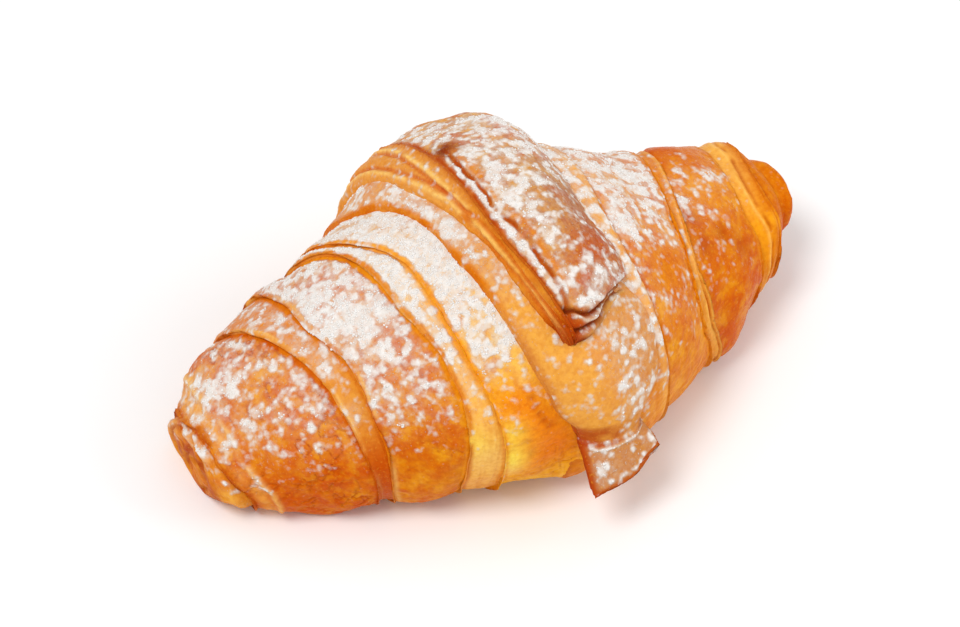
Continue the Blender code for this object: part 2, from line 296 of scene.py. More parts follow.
def crust_material():
    """Egg-washed crust, from the colours on the piece, with fine pores and dusted sugar by its noise."""
    material = bpy.data.materials.new("crust")
    material.use_nodes = True
    nodes, links = material.node_tree.nodes, material.node_tree.links
    shader = nodes["Principled BSDF"]
    place = nodes.new("ShaderNodeTexCoord").outputs["Object"]

    def attribute(name, output="Fac"):
        node = nodes.new("ShaderNodeAttribute")
        node.attribute_name = name
        return node.outputs[output]

    def cloud(scale, detail, roughness=0.55):
        node = nodes.new("ShaderNodeTexNoise")
        node.inputs["Scale"].default_value = scale
        node.inputs["Detail"].default_value = detail
        node.inputs["Roughness"].default_value = roughness
        links.new(place, node.inputs["Vector"])
        return node.outputs["Fac"]

    def spread(value, low, high, start=0.0, end=1.0):
        node = nodes.new("ShaderNodeMapRange")
        node.interpolation_type = "SMOOTHSTEP"
        limits = {"From Min": low, "From Max": high, "To Min": start, "To Max": end}
        for name, number in limits.items():
            node.inputs[name].default_value = number
        links.new(value, node.inputs["Value"])
        return node.outputs["Result"]

    def math_of(kind, one, other):
        node = nodes.new("ShaderNodeMath")
        node.operation = kind
        for socket, value in zip(node.inputs, (one, other)):
            if isinstance(value, (int, float)):
                socket.default_value = value
            else:
                links.new(value, socket)
        return node.outputs["Value"]

    def blend(kind, factor, one, other):
        node = nodes.new("ShaderNodeMix")
        node.data_type = "RGBA"
        node.blend_type = kind
        for name, value in (("Factor_Float", factor), ("A_Color", one), ("B_Color", other)):
            socket = next(s for s in node.inputs if s.identifier == name)
            if isinstance(value, (int, float, tuple)):
                socket.default_value = value
            else:
                links.new(value, socket)
        return next(s for s in node.outputs if s.identifier == "Result_Color")

    fine = cloud(900, 6)
    tone = attribute("crust_colour", "Color")
    tone = blend("MULTIPLY", spread(fine, 0.62, 0.35, 0.0, 0.45), tone, (0.80, 0.58, 0.34, 1))
    tone = blend("MIX", spread(cloud(1700, 4), 0.56, 0.72, 0.0, 0.24), tone, (0.92, 0.50, 0.05, 1))
    dust = attribute("dust")
    grains = nodes.new("ShaderNodeTexVoronoi")
    grains.inputs["Scale"].default_value = 560
    links.new(place, grains.inputs["Vector"])
    ragged = math_of("MULTIPLY", math_of("SUBTRACT", 0.52, grains.outputs["Distance"]), 0.65)
    ragged = math_of("ADD", ragged, math_of("MULTIPLY", math_of("SUBTRACT", cloud(1300, 2), 0.5), 0.5))
    heaps = spread(math_of("ADD", attribute("sugar"), ragged), 0.20, 0.86)
    dusty = math_of("ADD", cloud(1900, 1), math_of("MULTIPLY", dust, 0.28))
    scattered = spread(dusty, 0.71, 0.90, 0.0, 0.60)
    scattered = math_of("MULTIPLY", scattered, spread(dust, 0.01, 0.10))
    veil = math_of("MULTIPLY", math_of("POWER", dust, 2.2), spread(cloud(800, 3), 0.30, 0.66, 0.25, 1.0))
    mask = math_of("MAXIMUM", heaps, scattered)
    patches = spread(cloud(700, 4), 0.35, 0.65)
    white = blend("MIX", patches, (0.82, 0.80, 0.77, 1), (0.74, 0.69, 0.64, 1))
    thickness = math_of("MULTIPLY", mask, spread(cloud(420, 2), 0.35, 0.60, 0.78, 0.97))
    cover = math_of("MAXIMUM", thickness, veil)
    sugar = blend("MIX", spread(cover, 0.35, 0.95), (0.66, 0.67, 0.62, 1), white)
    links.new(blend("MIX", cover, tone, sugar), shader.inputs["Base Color"])
    shine = math_of("MULTIPLY", attribute("gloss"), 0.22)
    crust_roughness = math_of("SUBTRACT", spread(fine, 0.3, 0.7, 0.56, 0.44), shine)
    rough = nodes.new("ShaderNodeMix")
    links.new(mask, rough.inputs["Factor"])
    links.new(crust_roughness, rough.inputs["A"])
    rough.inputs["B"].default_value = 0.95
    links.new(rough.outputs["Result"], shader.inputs["Roughness"])
    bump = nodes.new("ShaderNodeBump")
    bump.inputs["Strength"].default_value = 0.7
    bump.inputs["Distance"].default_value = 0.00035
    height = math_of("ADD", math_of("MULTIPLY", fine, 0.6), math_of("MULTIPLY", mask, 0.7))
    links.new(height, bump.inputs["Height"])
    links.new(bump.outputs["Normal"], shader.inputs["Normal"])
    shader.inputs["Specular IOR Level"].default_value = 0.05
    shader.inputs["Specular Tint"].default_value = (1.0, 0.72, 0.40, 1)
    return material


crust = crust_material()
sugared = []  # each piece that sugar lies on, with how much there is at its points


def placed(name, data):
    """The object of a finished mesh, a lamp or a camera, in the scene."""
    thing = bpy.data.objects.new(name, data)
    bpy.context.scene.collection.objects.link(thing)
    return thing


def triangles_of(mesh):
    """The three corners of each triangle of the mesh."""
    mesh.calc_loop_triangles()
    corners = np.empty(len(mesh.loop_triangles) * 3, np.int32)
    mesh.loop_triangles.foreach_get("vertices", corners)
    return corners.reshape(-1, 3)


def bake(name, form, points, angle, from_lip, to_tuck, look, shown, cut, leaf, marks=()):
    """Makes the piece from its form: the points go to their places, then rise and sink along their normals.

    A spot in its look is a place in half lengths, an angle, a height over the roll and a reach in mm, and a
    mark's last four. A line is a distance from the raised edge and a width in mm, and those four.
    """
    look = {**PLAIN, **look}
    mesh = bpy.data.meshes.new(name)
    form.to_mesh(mesh)
    form.free()
    mesh.vertices.foreach_set("co", points.ravel())
    mesh.update()
    a, b, c = points[triangles_of(mesh)].transpose(1, 0, 2)
    if (a * np.cross(b, c)).sum() < 0:
        mesh.flip_normals()
    normals = np.empty(len(points) * 3, np.float32)
    mesh.vertex_normals.foreach_get("vector", normals)
    normals = normals.reshape(-1, 3)
    all_marks = []
    for share, at, lift, reach, *rest in look.get("spots", ()):
        middle = on_roll(np.array([share]), np.array([at]), np.array([lift * MM]))
        all_marks.append((np.exp(-((points - middle) ** 2).sum(-1) / (reach * MM) ** 2), *rest))
    for at, width, *rest in look.get("lines", ()):
        broken = ramp(noise(points + at, 5 * MM, 2), 0.2, 0.5)
        all_marks.append((bell(from_lip - at * MM, width * MM) * broken, *rest))
    all_marks.extend(marks)
    facing_up = ramp(normals[:, 2] + 0.7 * (noise(points + 0.3, 8 * MM, 2) - 0.5), -0.25, 0.35)
    relief, colour, dust, sugar, gloss = crust_skin(
        points, angle, from_lip, to_tuck, cut, leaf, look, all_marks, facing_up
    )
    relief = relief * shown * ramp(points[:, 2], 0, 2 * MM)
    points = points + normals * relief[:, None]
    points[:, 2] = np.maximum(points[:, 2], 0)
    points[:, 0] = np.clip(points[:, 0], low_corner.x, high_corner.x)
    above = np.maximum(points[:, 2] - (high_corner.z - 1.5 * MM), 0)
    points[:, 2] += MM * (1 - np.exp(-above / MM)) - above
    mesh.vertices.foreach_set("co", points.ravel())
    tones = mesh.attributes.new("crust_colour", "FLOAT_COLOR", "POINT")
    tones.data.foreach_set("color", np.column_stack([colour, np.ones(len(colour))]).astype(np.float32).ravel())
    for key, values in (("sugar", sugar * shown), ("dust", dust * shown), ("gloss", gloss)):
        mesh.attributes.new(key, "FLOAT", "POINT").data.foreach_set("value", values.astype(np.float32))
    mesh.shade_smooth()
    mesh.materials.append(crust)
    mesh.update()
    piece = placed(name, mesh)
    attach(piece, "root")
    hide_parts("croissant")
    sugared.append((piece, sugar * shown))


def coordinates(form):
    return np.array([vert.co[:] for vert in form.verts])


def joined_sheet(rows, columns, section):
    """A sheet bent round X and joined. Section gives X and the distance from it at each share of the way."""
    form = bmesh.new()
    bmesh.ops.create_grid(form, x_segments=rows, y_segments=columns, size=0.5)
    for vert in form.verts:
        turn = vert.co.y * 2 * math.pi
        x, reach = section(vert.co.x + 0.5)
        vert.co = (x, -reach * math.sin(turn), reach * math.cos(turn))
    bmesh.ops.remove_doubles(form, verts=form.verts[:], dist=1e-5)
    x, y, z = coordinates(form).T
    return form, x, np.hypot(y, z), np.degrees(np.arctan2(-y, z))


def closed_ball(rows, columns):
    """A ball with its poles on X: each point's share of the way along, and its angle from the crown."""

    def section(share):
        return -math.cos(share * math.pi), math.sin(share * math.pi)

    form, x, _, angle = joined_sheet(rows, columns, section)
    return form, np.round(np.arccos(np.clip(-x, -1, 1)) / math.pi * rows) / rows, angle


BORDER_ANGLES = (-150, -90, -45, -20, 0, 20, 40, 60, 80, 100, 150)
ROLL_PITCH = 4.2 * MM  # between the turns that show on an end
END_TUCKED = 6 * MM
LEFT_END_LIP = (-0.94, -0.96, -0.975, -0.978, -0.978, -0.974, -0.966, -0.955, -0.93, -0.895, -0.885)


def border(places, angle):
    """Where a turn's edge runs, in half lengths, at each angle round the roll."""
    return smooth_curve(BORDER_ANGLES, places, angle, 360)


def end_of_roll(name, tip, rows, columns, lip, height, **look):
    """The round end that comes out from under the last turn's lip."""
    form, along, angle = closed_ball(rows, columns)
    edge = border(lip, angle)
    inner = edge - np.sign(tip) * END_TUCKED / HALF
    share = inner + (tip - inner) * along if tip > 0 else tip + (inner - tip) * along
    out = along if tip > 0 else 1 - along
    share = np.where(out < 0.5 / rows, inner + np.sign(tip) * 1e-4, share)
    from_tip = np.abs(tip - share) * HALF
    to_tuck = np.abs(share - edge) * HALF * np.sign((share - edge) * tip)
    lift = -height / 2 * np.exp(-np.maximum(to_tuck, 0) / (3 * MM)) + np.minimum(to_tuck, 0) * 0.6
    lift = np.where(out < 0.5 / rows, -0.05, lift)
    points = on_roll(share, angle, lift)
    shown = ramp(to_tuck, -1.5 * MM, 0)
    uncut = np.zeros(len(points))
    away = np.linalg.norm(points - on_roll(edge, angle, 0), axis=1) * np.where(to_tuck < 0, -1, 1)
    pole = points[out > 1 - 0.5 / rows][0]
    from_pole = np.hypot(*(points - pole)[:, 1:].T) + 1.5 * MM * (noise(points, 5 * MM, 2) - 0.5)
    winding = (from_pole / ROLL_PITCH + angle / 360) % 1
    coil = bell((winding - 0.5) * ROLL_PITCH, 0.6 * MM) * ramp(from_tip, 1.6 * MM, 0.6 * MM)
    bake(name, form, points, angle, away, away, look, shown, uncut, uncut, ((coil, -0.9, "burnt", 0.7, 0),))


end_of_roll(
    "left_end", -1, 70, 300, LEFT_END_LIP, 2.0 * MM,
    colours="orange orange amber amber", sugar=(0.2, 0.34, 0.34, 0.14), seed=0.11, foot_layers=0.2, creases=0.5,
    mottle=0.7, gloss=0.3, rim="amber", groove="deep",
    lines=(
        # Burnt lines: painted shade under the ball's lip at 0.2 mm, and on the down-facing rim at 9 mm.
        (0.2, 0.9, 0, "burnt", 0.7, 0), (3.2, 1.7, 0.8, "straw", 0.55, 0.6),
        (9, 2, 0, "burnt", 0.8, 0),
    ),
)

# The turns of the left half: five strips of the same dough, each lying on the one to its left with a raised
# edge, from the ball at the left end to the middle. The feet of the middle ones are pale, where the dough
# spread late in the oven.
BAND_LIP = (-0.84, -0.8, -0.78, -0.735, -0.695, -0.657, -0.636, -0.617, -0.601, -0.585, -0.585)
SECOND_LIP = (-0.76, -0.69, -0.645, -0.625, -0.61, -0.579, -0.566, -0.56, -0.553, -0.545, -0.53)
THIRD_LIP = (-0.57, -0.55, -0.525, -0.435, -0.4, -0.38, -0.354, -0.344, -0.352, -0.365, -0.35)
MIDDLE_LIP = (-0.49, -0.48, -0.472, -0.376, -0.318, -0.306, -0.298, -0.275, -0.262, -0.26, -0.26)
UNDER_TONGUE = (0.1,) * 11
TUCKED = 3.5 * MM
INNER_DEPTH = 3.5 * MM
LIP_WANDER = 1.5 * MM
CUT_SHOWN = 0.5  # how far the leaves show in a raised edge
FINER_NEAR_SIDE = 14  # degrees by which the mesh is drawn together on the near side
LOW_AT, BASE_AT = 66, 112  # the angles between which a raised edge sinks into the base


def ring_of_dough(rows, columns):
    """A closed ring round X: each point's share of the way round its section, and its angle from the crown."""

    def section(share):
        way = share * 2 * math.pi
        return 0.3 * math.sin(way), 1 + 0.3 * math.cos(way)

    form, x, reach, angle = joined_sheet(rows, columns, section)
    place = np.arctan2(x, reach - 1) / (2 * math.pi)
    return form, np.round(place * rows) % rows / rows, angle


def turn_of_dough(name, way, number, lip, tuck, heights, next_heights, puff, rows, columns, **look):
    """A turn of the roll. Way -1 has its lip at the left and +1 at the right; its other side is tucked in.

    The heights of its edge and of the next one's, in mm, are those at the crown and on the near side. It swells
    by puff mm between them.
    """
    look["seed"] = 0.7 + 0.13 * number - 0.5 * way
    form, place, angle = ring_of_dough(rows, columns)
    angle = angle - FINER_NEAR_SIDE * np.sin(np.radians(angle))
    standing = 0.1 + 0.9 * (1 - ramp(np.abs(angle), LOW_AT, BASE_AT))
    start, end = border(lip, angle), border(tuck, angle)
    around = np.stack([np.radians(angle) * 20 * MM, np.full(len(angle), look["seed"]), start * 0], -1)
    start = start + LIP_WANDER * (noise(around, 6 * MM, 3) - 0.5) / HALF * standing
    down = ramp(angle, 5, 65)
    height = (heights[0] + (heights[1] - heights[0]) * down) * MM * standing
    height = height * (0.7 + 0.6 * noise(around + 5, 8 * MM, 2))
    next_height = (next_heights[0] + (next_heights[1] - next_heights[0]) * down) * MM * standing
    width = np.abs(end - start) * HALF
    outer, inner = 0.8, 0.9
    run = np.clip(place / outer, 0, 1)
    back = np.clip((place - outer) / (inner - outer), 0, 1)
    face = np.clip((place - inner) / (1 - inner), 0, 1)
    bend = 0.4 * MM + 0.4 * height
    reach = width + TUCKED
    from_lip = bend + run * (reach - bend)
    fraction = np.clip((from_lip - bend) / (width - bend), 0, 1)
    lift = height / 2 * (1 - fraction) ** 1.5 - next_height / 2 * fraction**1.5
    lift = lift + puff * MM * 4 * fraction * (1 - fraction)
    lift = lift - 0.6 * np.maximum(from_lip - width, 0)
    from_lip = np.where(place > outer, reach + (bend + 1 * MM - reach) * back, from_lip)
    lift = np.where(place > outer, np.minimum(-INNER_DEPTH, -next_height / 2 - 2.2 * MM), lift)
    swing = math.pi * (face * 1.25 - 0.75)
    rounded = bend * (1 - np.cos(np.clip(swing, -math.pi / 2, math.pi / 2)))
    from_lip = np.where(place > inner, rounded + MM * np.clip(-swing - math.pi / 2, 0, 1), from_lip)
    lip_lift = height / 2 * np.sin(swing)
    lip_lift = np.where(swing < -math.pi / 2, -height / 2 + (swing + math.pi / 2) * 2.2 * MM, lip_lift)
    lift = np.where(place > inner, lip_lift, lift)
    share = start - way * from_lip / HALF
    points = on_roll(share, angle, lift)
    shown = np.where((place > outer) & (place < inner + 0.3 * (1 - inner)), 0, 1)
    shown = shown * ramp(width - from_lip, -1.2 * MM, 0.2 * MM)
    up_face = np.where(place > inner, lift + height / 2, height + from_lip - bend)
    cut = CUT_SHOWN * standing * bell(np.maximum(up_face - height, 0), 0.4 * MM)
    bake(name, form, points, angle, from_lip, width - from_lip, look, shown, cut, up_face / (1.1 * MM))


turn_of_dough(
    "left_ball", -1, 0, LEFT_END_LIP, BAND_LIP, (0.9, 1.4), (1.4, 0.5), 1.2, 130, 460,
    colours="orange orange orange deep", sugar=(0.34, 0.48, 0.44, 0.08),
    # The deep spot low on the ball's near side is partly its darker baked foot and partly painted shade.
    spots=((-0.84, 92, 0, 13, 0, "deep", 0.75, 0.04), (-0.88, -8, 0, 6, 0, "amber", 0, 0.62)),
    lines=(
        (2.4, 1.6, -0.3, "straw", 0.55, 0.4), (0.2, 0.7, 0, "burnt", 0.6, 0),
        (4.6, 0.6, 0.6, "cream", 0.5, 0.45),
    ),
    layers=0.2, creases=1.4, mottle=1, gloss=0.35, groove="deep",
)
turn_of_dough(
    "left_band", -1, 1, BAND_LIP, SECOND_LIP, (1.4, 0.5), (1.2, 0.5), -0.3, 60, 500,
    colours="orange amber honey deep", sugar=(0.34, 0.6, 0.05, 0),
    spots=(
        (-0.57, 88, 0, 7, 0, "deep", 0.7, 0), (-0.612, 47, 0, 3.2, 0, "amber", 0, 0.6),
        (-0.618, 17, 0, 3, 0, "amber", 0, 0.6),
    ),
    # Its cream rim is a painted highlight along the raised edge.
    mottle=0.15, gloss=0.9, rim="cream", groove="orange",
)
turn_of_dough(
    "left_second", -1, 2, SECOND_LIP, THIRD_LIP, (1.2, 0.5), (1.4, 0.6), 0.9, 95, 540,
    colours="orange orange orange orange", sugar=(0.48, 0.92, 0.5, 0.02), layers=0.1, foot_layers=0.1,
    # Its cream rim is a painted highlight along the raised edge.
    creases=0.8, mottle=0.9, gloss=0.4, rim="cream", groove="gold",
)
turn_of_dough(
    "left_third", -1, 3, THIRD_LIP, MIDDLE_LIP, (1.4, 0.6), (0.8, 0.5), 0.3, 60, 600,
    colours="amber straw straw straw", sugar=(0.5, 1.12, 0.62, 0.02),
    lines=((0.5, 0.6, 0, "orange", 0.65, 0.1),),
    spots=((-0.31, 90, 0, 6, 0, "cream", 0.5, None), (-0.34, 78, 0, 4, 0, "lemon", 0.5, 0.1)),
    layers=0.3, foot_layers=0.45, creases=0.1, mottle=0.3, gloss=0.6, groove="gold",
)
turn_of_dough(
    "left_middle", -1, 4, MIDDLE_LIP, UNDER_TONGUE, (0.8, 0.5), (4, 4), 0, 130, 640,
    colours="amber straw butter butter", sugar=(0.52, 1.16, 0.63, 0.02),
    lines=((0.5, 0.6, 0, "gold", 0.65, 0.2),),
    spots=(
        (-0.11, 94, 0, 9, 0, "apricot", 1, 0), (-0.205, 72, 0, 7, 0, "apricot", 0.85, 0.12),
        (-0.15, 82, 0, 5.5, 0, "apricot", 0.8, 0.05), (-0.185, 94, 0, 5, 0, "apricot", 0.8, 0),
        (-0.163, 69, 0, 0.9, -0.3, "burnt", 0.4, None), (-0.158, 73, 0, 1, -0.4, "burnt", 0.5, None),
        (-0.149, 77, 0, 1, -0.4, "burnt", 0.5, None), (-0.137, 81, 0, 1.1, -0.4, "burnt", 0.5, None),
        (-0.121, 85, 0, 1.2, -0.4, "burnt", 0.5, None), (-0.205, 82, 0, 1, -0.4, "burnt", 0.4, None),
        (-0.195, 88, 0, 1.1, -0.4, "burnt", 0.4, None), (-0.18, 93, 0, 1.2, -0.4, "burnt", 0.4, None),
        (-0.168, 50, 0, 1.3, 0.3, "cream", 0.45, 0.15), (-0.172, 55, 0, 1.5, 0.3, "cream", 0.55, 0.1),
        (-0.176, 60, 0, 1.5, 0.3, "cream", 0.55, 0.05), (-0.255, 92, 0, 5, 0, "lemon", 1, 0),
        (-0.245, 98, 0, 3, 0, "cream", 0.5, 0), (-0.24, 80, 0, 4, 0, "lemon", 0.6, 0.1),
    ),
    layers=0.3, foot_layers=0.3, creases=1, mottle=0.9, gloss=0.5, rim="gold",
)

# The turns of the right half: five strips made as the left ones are, with their raised edges to the right. The
# narrow pale third one lies between two wide ones, and the last holds the end of the roll, a small round knob.
RIGHT_MIDDLE_LIP = (0.4, 0.37, 0.335, 0.315, 0.3, 0.285, 0.28, 0.29, 0.3, 0.305, 0.3)
FIRST_LIP = (0.66, 0.63, 0.61, 0.595, 0.575, 0.53, 0.508, 0.5, 0.507, 0.545, 0.56)
STRIP_LIP = (0.71, 0.68, 0.66, 0.64, 0.61, 0.567, 0.54, 0.547, 0.553, 0.59, 0.6)
WIDE_LIP = (0.86, 0.86, 0.855, 0.845, 0.83, 0.822, 0.822, 0.826, 0.815, 0.79, 0.79)
COLLAR_LIP = (0.94, 0.95, 0.955, 0.945, 0.93, 0.92, 0.922, 0.93, 0.905, 0.89, 0.9)
turn_of_dough(
    "right_middle", 1, 0, RIGHT_MIDDLE_LIP, (-0.05,) * 11, (1.4, 0.9), (4, 4), 0, 110, 620,
    colours="amber honey honey amber", sugar=(0.46, 0.72, 0.6, 0.26),
    lines=((1.6, 1.5, 0.3, "straw", 0.5, 0.5),), layers=0.1, foot_layers=0.1, creases=0.4, mottle=0.6,
    gloss=0.4,
)
turn_of_dough(
    "right_first", 1, 1, FIRST_LIP, RIGHT_MIDDLE_LIP, (1.2, 0.5), (1.4, 0.9), 0.7, 90, 560,
    colours="orange amber orange amber", sugar=(0.48, 0.8, 0.36, 0.04),
    spots=(
        (0.41, -20, 1, 7, 0.9, "amber", 0.2, None), (0.53, -18, 1, 3.5, -0.6, "orange", 0.4, None),
        (0.41, 42, 1, 7, 0, "amber", 0.5, 0.03),
    ),
    layers=0.1, creases=0.4, mottle=0.9, gloss=0.5, rim="gold", groove="orange",
)
turn_of_dough(
    "right_strip", 1, 2, STRIP_LIP, FIRST_LIP, (0.7, 0.15), (1.2, 0.5), 0, 50, 500,
    colours="amber amber honey straw", sugar=(0.3, 0.48, 0.26, 0.02),
    lines=((1, 0.5, 0.15, "straw", 0.4, None), (2.2, 0.5, -0.15, "amber", 0.6, None)), layers=0.4,
    foot_layers=0.3, mottle=0.3, gloss=0.7, rim="straw", groove="amber",
)
turn_of_dough(
    "right_wide", 1, 3, WIDE_LIP, STRIP_LIP, (1.1, 0.6), (0.7, 0.15), 0.9, 90, 480,
    colours="orange amber orange deep", sugar=(0.1, 0.36, 0.1, 0),
    spots=(
        (0.605, 20, 1, 2.8, -0.6, "burnt", 0.75, 0.25), (0.605, 36, 1, 3.2, -0.4, "burnt", 0.6, 0.1),
        (0.696, 35, 1, 2.6, -0.7, "burnt", 0.6, 0), (0.745, 48, 1, 3.2, -0.4, "burnt", 0.5, 0),
        (0.68, -30, 1, 8, 1.2, "deep", 0.8, 0.1), (0.612, -4, 1, 2.4, 0, "amber", 0, 0.6),
        (0.615, 10, 1, 2.4, 0, "amber", 0, 0.6), (0.768, -2, 1, 2.6, 0, "amber", 0, 0.6),
        (0.8, -26, 0, 7, 0, "amber", 0.3, 0.04),
    ),
    creases=0.2, mottle=0.8, gloss=0.9, groove="orange",
)
turn_of_dough(
    "right_collar", 1, 4, COLLAR_LIP, WIDE_LIP, (0.7, 0.3), (1.1, 0.6), 0.3, 60, 400,
    colours="straw straw gold amber",
    lines=(
        (0.5, 2.6, 0, "orange", 0.8, 0), (3.3, 0.4, -0.4, "burnt", 0.6, 0),
        (4.4, 0.4, 0.2, "cream", 0.4, 0),
    ),
    sugar=(0.05, 0.08, 0.04, 0), layers=0.2, foot_layers=0.1, mottle=0.2, gloss=0.8, rim="straw",
    groove="orange",
)
end_of_roll(
    "right_end", 1.045, 80, 320, COLLAR_LIP, 0.6 * MM,
    colours="amber orange orange deep", sugar=(0.02, 0.04, 0.03, 0), seed=0.61, creases=0.3, mottle=0.4,
    gloss=0.6,
)

# The tongue: the last of the triangle of dough, a thin sheet that comes over the middle from behind and down
# the near side, where its end hangs clear of the roll. It is baked on to the turns under it.
SHEET_ROOT = 3.5 * MM
TONGUE_ANGLES = (-140, -90, -48, -20, 16, 38, 52, 68, 81, 93)
TONGUE_LEFT = (-0.42, -0.38, -0.335, -0.23, -0.188, -0.16, -0.147, -0.12, -0.098, -0.045)
TONGUE_RIGHT = (0.26, 0.22, 0.17, 0.14, 0.15, 0.2, 0.25, 0.25, 0.24, 0.15)
TONGUE_PLACES = (0, 0.12, 0.35, 0.6, 0.85, 1)
TONGUE_HEIGHTS = (1.3, 2.5, 3.2, 3.1, 2.7, 1.2)
TONGUE_TIP = ((-4.6, -50, 15), (6.6, -48.8, 15.5), (13.8, -46.2, 19))
TONGUE_TIP_PLACES = (0, 0.6, 1)
TONGUE_BACK = np.array([0.34, 2.89, 0.51]) * MM
TONGUE_CREASE = 0.88  # the share of its length that lies on the roll
TONGUE_LENGTH = 160 * MM
TONGUE_SECTION = (0, 0.05, 0.8, 0.85, 1)  # round it: left side, top, right side and underside


def sheet_form(rows, columns):
    """A closed ball to lay out as a sheet: each point's share of its length, and of the way round it."""
    form, along, angle = closed_ball(rows, columns)
    loop = np.round((angle / 360 % 1) * columns) % columns / columns
    return form, along, np.clip((along * rows - 1) / (rows - 2), 0, 1), loop


def close_ends(points, along, rows):
    """Puts the ball's poles in the middle of the rings next to them, so that the sheet's ends are flat."""
    for pole in (along < 0.5 / rows, along > 1 - 0.5 / rows):
        ring = (np.abs(along - along[pole][0]) < 1.5 / rows) & ~pole
        points[pole] = points[ring].mean(0)


def make_tongue(rows, columns, **look):
    form, along, step, loop = sheet_form(rows, columns)
    across = np.interp(loop, TONGUE_SECTION, (0, 0, 1, 1, 0))
    under = np.interp(loop, TONGUE_SECTION, (1, 0, 0, 1, 1))
    reach = TONGUE_ANGLES[0] + (TONGUE_ANGLES[-1] - TONGUE_ANGLES[0]) * np.clip(step / TONGUE_CREASE, 0, 1)
    drop = np.clip((step - TONGUE_CREASE) / (1 - TONGUE_CREASE), 0, 1)
    left, right = (smooth_curve(TONGUE_ANGLES, side, reach) for side in (TONGUE_LEFT, TONGUE_RIGHT))
    share = left + (right - left) * across
    grown = ramp(reach, TONGUE_ANGLES[0], TONGUE_ANGLES[2])
    top = smooth_curve(TONGUE_PLACES, TONGUE_HEIGHTS, across) * MM * grown
    bulge = 0.5 * MM * np.sin(np.pi * np.clip(under, 0, 1)) / HALF
    share = share + np.where(across < 0.01, -bulge, np.where(across > 0.99, bulge, 0))
    on_top = on_roll(share, reach, top)
    points = on_roll(share, reach, top + (-SHEET_ROOT - top) * under)
    tip = np.stack([smooth_curve(TONGUE_TIP_PLACES, axis, across) for axis in zip(*TONGUE_TIP)], -1) * MM
    tip = tip + ROLL_MIDDLE
    hanging = on_top + (tip - on_top) * drop[:, None] + TONGUE_BACK * under[:, None]
    points = np.where((drop > 0)[:, None], hanging, points)
    close_ends(points, along, rows)
    width = (right - left) * HALF
    shown = 1 - ramp(under, 0.5, 1) * (drop <= 0)
    from_left = across * width
    from_edge = np.minimum(across, 1 - across) * width
    from_crease = (step - TONGUE_CREASE) * TONGUE_LENGTH
    broken = ramp(noise(points, 4 * MM, 2), 0.25, 0.5)
    near_side = ramp(reach, 22, 40) * (drop <= 0)
    clear = ramp(drop, 0, 0.1)
    # Painted shade in the crease where the tongue bends down off the roll.
    crease_shade = ramp(from_crease, -2.6 * MM, -1.4 * MM) * ramp(from_crease, 2.4 * MM, 1.4 * MM)
    crease_shade = crease_shade * ramp(across, 0.72, 0.45) * (0.45 + 0.55 * broken)
    marks = (
        (bell(from_left, 0.75 * MM) * (0.4 + 0.6 * broken), 0, "orange", 0.95, 0),
        (bell(from_left, 1.1 * MM) * (0.6 + 0.4 * broken) * ramp(reach, 30, 55), 0, "burnt", 0.95, 0),
        ((1 - ramp(across, 0.25, 0.55)) * near_side, 0, "straw", 0.45, 0.14),
        (ramp(across, 0.5, 0.72) * near_side, 0, "tan", 0.35, 0.43),
        (clear, 0, "tan", 0.8, 0.42),
        (crease_shade, -0.2, "burnt", 0.85, 0.22),
        (bell(from_crease - 2.9 * MM, 0.6 * MM) * ramp(across, 0.1, 0.2), 0.3, "cream", 0.2, 0.8),
        (clear * bell(from_left, 0.9 * MM), 0, "burnt", 0.9, 0),
        (ramp(drop, 0.86, 0.96), 0, "burnt", 0.7, 0.1),
    )
    cut = 0.6 * ramp(under, 0.02, 0.1) * (1 - ramp(under, 0.8, 1))
    from_lip, to_tuck = from_edge + 0.9 * MM, from_edge + MM
    bake("tongue", form, points, reach, from_lip, to_tuck, look, shown, cut, under * 4, marks)


make_tongue(
    430, 200,
    colours="amber honey honey honey", sugar=(0.44, 0.76, 0.34, 0.34), seed=0.71, layers=0.1, creases=0.3,
    mottle=0.4, gloss=0.5, rim="gold", groove="orange",
)

# The flap: a second, thicker sheet of the dough, baked on to the tongue under it. Its cut left edge shows the
# layers as a steep band of long leaves, and its end is folded and baked dark.
FLAP_ANGLES = (-120, -90, -54, -32, -8, 16, 33, 44, 53)
FLAP_FOOT = (-0.36, -0.32, -0.25, -0.208, -0.162, -0.13, -0.108, -0.078, -0.045)
FLAP_RIDGE = (-0.24, -0.19, -0.12, -0.11, -0.1, -0.09, -0.052, -0.034, -0.02)
FLAP_RIGHT = (0.36, 0.33, 0.29, 0.26, 0.23, 0.22, 0.24, 0.24, 0.22)
FLAP_END = ((-0.045, 0.03, 0.078, 0.132, 0.165, 0.22), (55.5, 54.6, 52, 48, 46.3, 44.5))
FLAP_CRACK = (
    (-21, 4, 10, 16, 22, 28, 36, 50),
    (-0.066, -0.06, -0.054, -0.038, -0.03, -0.024, -0.012, -0.022),
)
FOLD_PLACES = (-0.03, 0, 0.024, 0.066, 0.108, 0.2)
FOLDS = ((10, 8.6, 6.4, 4.8, 3.2, 2.4), (4.2, 3.3, 3.1, 2.3, 1.5, 1.1))  # how far from the end, in mm
FLAP_DEGREE = 0.78 * MM  # what a degree round the roll measures on it
FLAP_EDGE = ((0, 0.35, 0.8, 1), (3.6, 5.6, 6.8, 7.5))
FLAP_TOP = ((0, 0.12, 0.4, 0.65, 0.85, 1), (7.3, 6.6, 6.5, 5.9, 4.1, 0.9))


